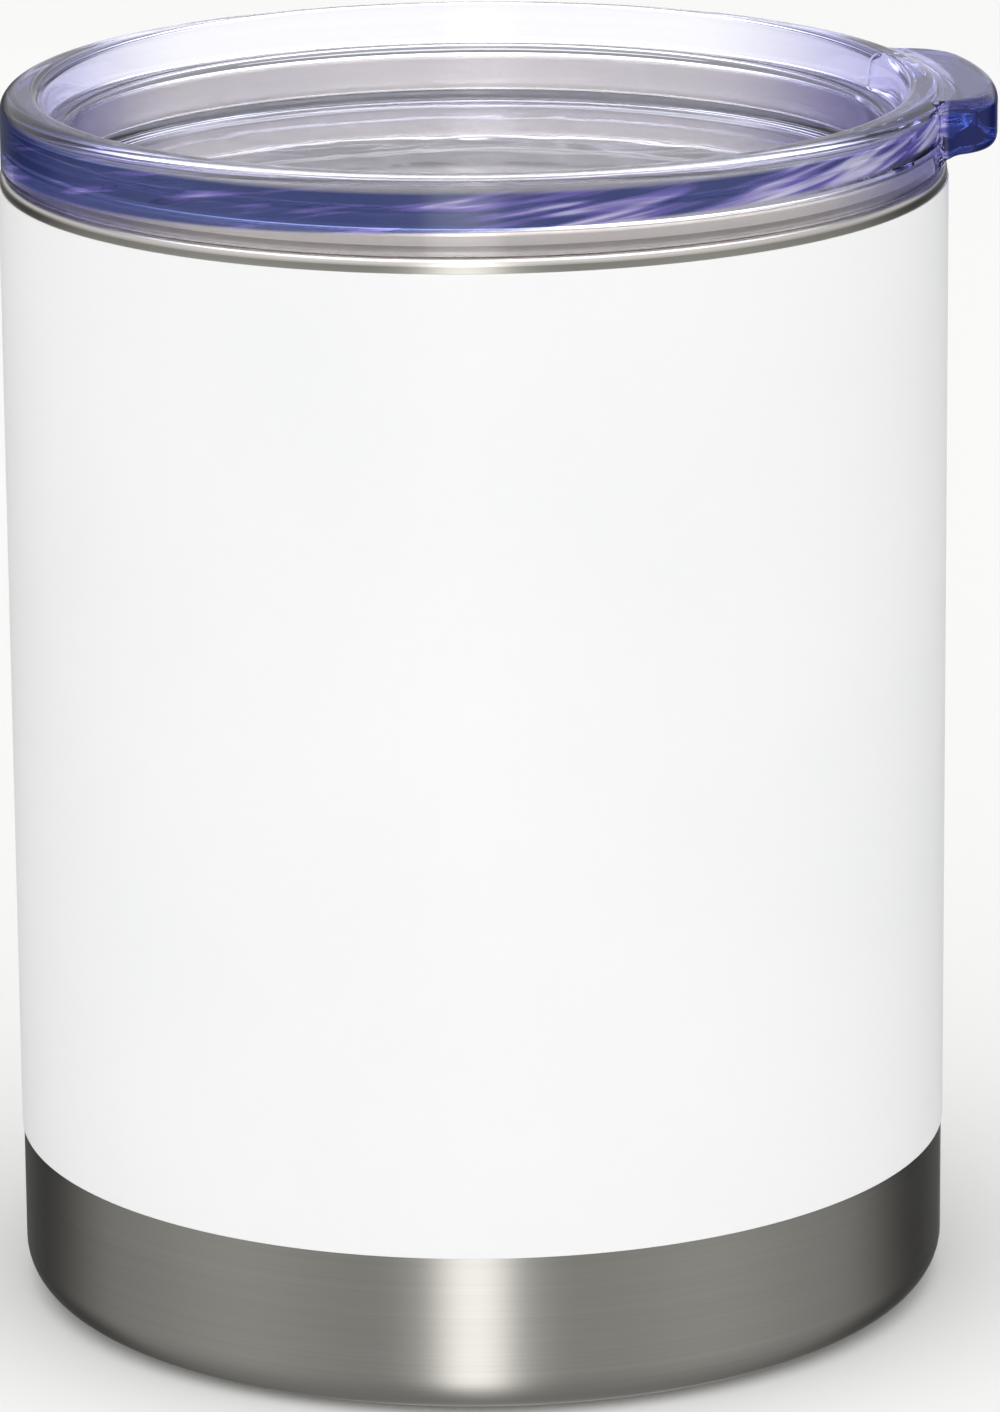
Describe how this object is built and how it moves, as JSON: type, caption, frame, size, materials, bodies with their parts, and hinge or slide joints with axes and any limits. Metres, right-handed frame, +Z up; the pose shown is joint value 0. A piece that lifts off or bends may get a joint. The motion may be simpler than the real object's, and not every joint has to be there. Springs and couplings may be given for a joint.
{
  "type": "insulated tumbler with lid",
  "caption": "Straight-walled double-wall steel tumbler with a powder-coated body, bare steel foot and lip, and a clear dished press-in lid with a thumb tab.",
  "frame": {"origin": "centre of the base, in the plane that the cup stands on", "axes": "+Z up along the cup's axis, towards the lid; +X towards the lid's thumb tab; -X towards the sip opening"},
  "size_m": [0.0937, 0.089, 0.1162],
  "materials": {
    "brushed_stainless": "304 stainless, circumferential satin grain on the foot, lip and inside",
    "white_powder_coat": "white polyester powder coat, low sheen with a very fine orange peel",
    "clear_copolyester": "clear copolyester with a faint blue-violet tint, polished mould finish",
    "clear_silicone": "translucent food-grade silicone, matt",
    "copper_foil": "thin bright copper foil",
    "solder_glass": "dark solder glass, melted smooth",
    "getter_alloy": "pressed zirconium alloy powder, dull grey",
    "clip_nickel": "rolled nickel strip"
  },
  "bodies": {
    "cup": {"outer_shell": "brushed_stainless", "base_pan": "brushed_stainless", "inner_liner": "brushed_stainless", "powder_coat": "white_powder_coat", "heat_shield_foil": "copper_foil", "port_seal": "solder_glass", "port_cover": "brushed_stainless", "getter_pill": "getter_alloy", "getter_clip": "clip_nickel"},
    "gasket": {"lid_gasket": "clear_silicone"},
    "lid": {"lid": "clear_copolyester"}
  },
  "joints": [
    {"name": "lid_lift", "type": "slide", "parent": "cup", "child": "gasket", "axis": [0, 0, 1], "range_m": [0, 0.03]},
    {"name": "lid_turn", "type": "hinge", "parent": "gasket", "child": "lid", "pos_m": [0, 0, 0.106], "axis": [0, 0, 1], "continuous": true}
  ]
}
